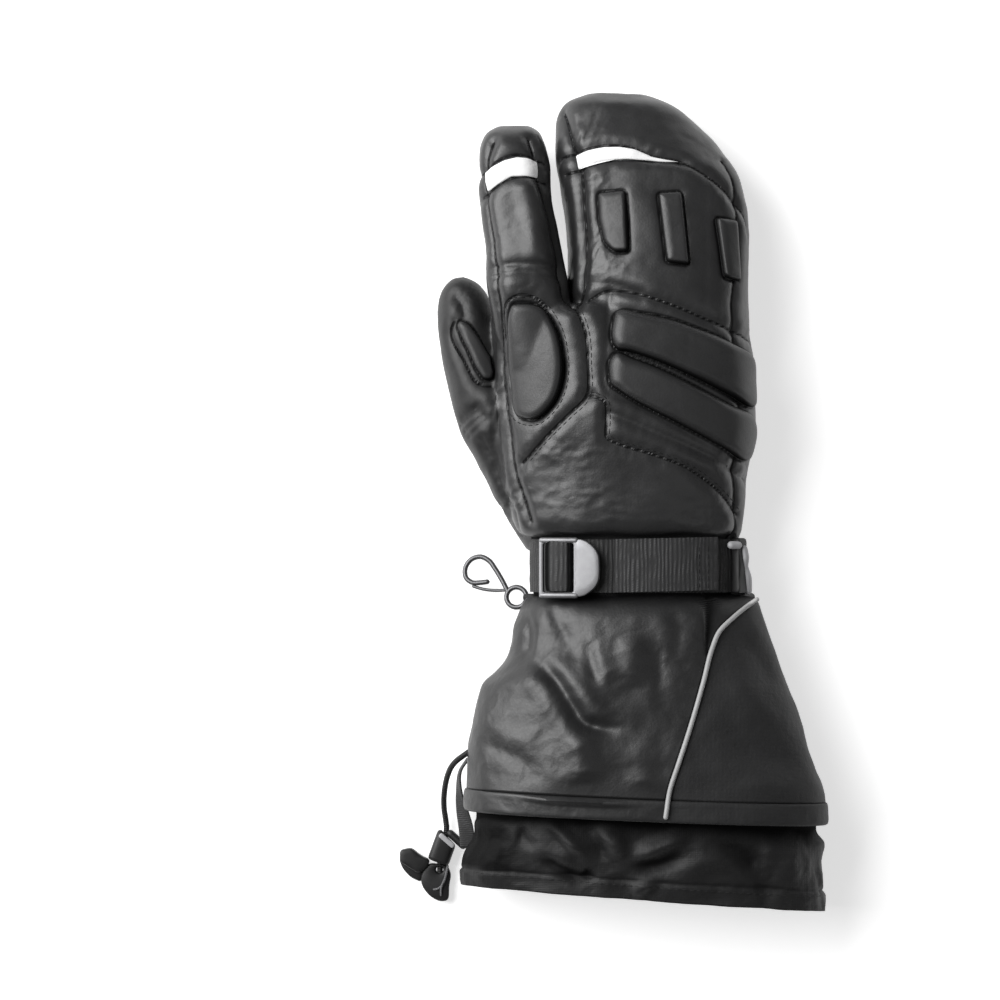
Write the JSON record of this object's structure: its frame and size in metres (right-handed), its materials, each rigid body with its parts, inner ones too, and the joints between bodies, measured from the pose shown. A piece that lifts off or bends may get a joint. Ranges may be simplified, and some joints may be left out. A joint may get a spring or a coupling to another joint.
{
  "type": "lobster claw mitt",
  "caption": "Padded black winter mitt with a separate index finger, a lobe for the other fingers, a buckled wrist strap and a long gauntlet cuff",
  "frame": {"origin": "middle of the palm heel patch, on the flat face that the mitt rests on", "axes": "+X to the little finger side, +Y to the fingertips, +Z out of the back of the hand"},
  "size_m": [0.1971, 0.3728, 0.066],
  "materials": {
    "leather": "semi-gloss grain",
    "pad_leather": "satin grain",
    "nylon": "woven, coated",
    "reflective_white": "reflective tape",
    "reflective_grey": "reflective piping",
    "webbing": "woven tape",
    "buckle_metal": "bead-blasted",
    "plastic": "matte"
  },
  "bodies": {
    "root": {"hand_back": "leather", "hand_palm": "leather", "thumb_shell": "leather", "index_knuckle_pad": "pad_leather", "knuckle_bar_upper": "pad_leather", "knuckle_bar_lower": "pad_leather", "finger_rib_1": "pad_leather", "finger_rib_2": "pad_leather", "finger_rib_3": "pad_leather", "thumb_pad": "pad_leather", "thumb_bellows": "leather", "index_reflector": "reflective_white", "lobe_reflector": "reflective_white", "palm_heel_patch": "pad_leather", "wrist_gather": "leather", "gauntlet_back": "leather", "gauntlet_nylon": "nylon", "gauntlet_hem": "nylon", "snow_skirt": "nylon", "piping": "reflective_grey", "wrist_strap": "webbing", "strap_tail": "webbing", "strap_roll": "webbing", "buckle": "buckle_metal", "side_buckle": "plastic", "clip": "buckle_metal", "clip_loop": "webbing", "draw_cord": "webbing", "cord_lock": "plastic", "cord_pull": "plastic", "cord_tab": "webbing"}
  },
  "joints": []
}
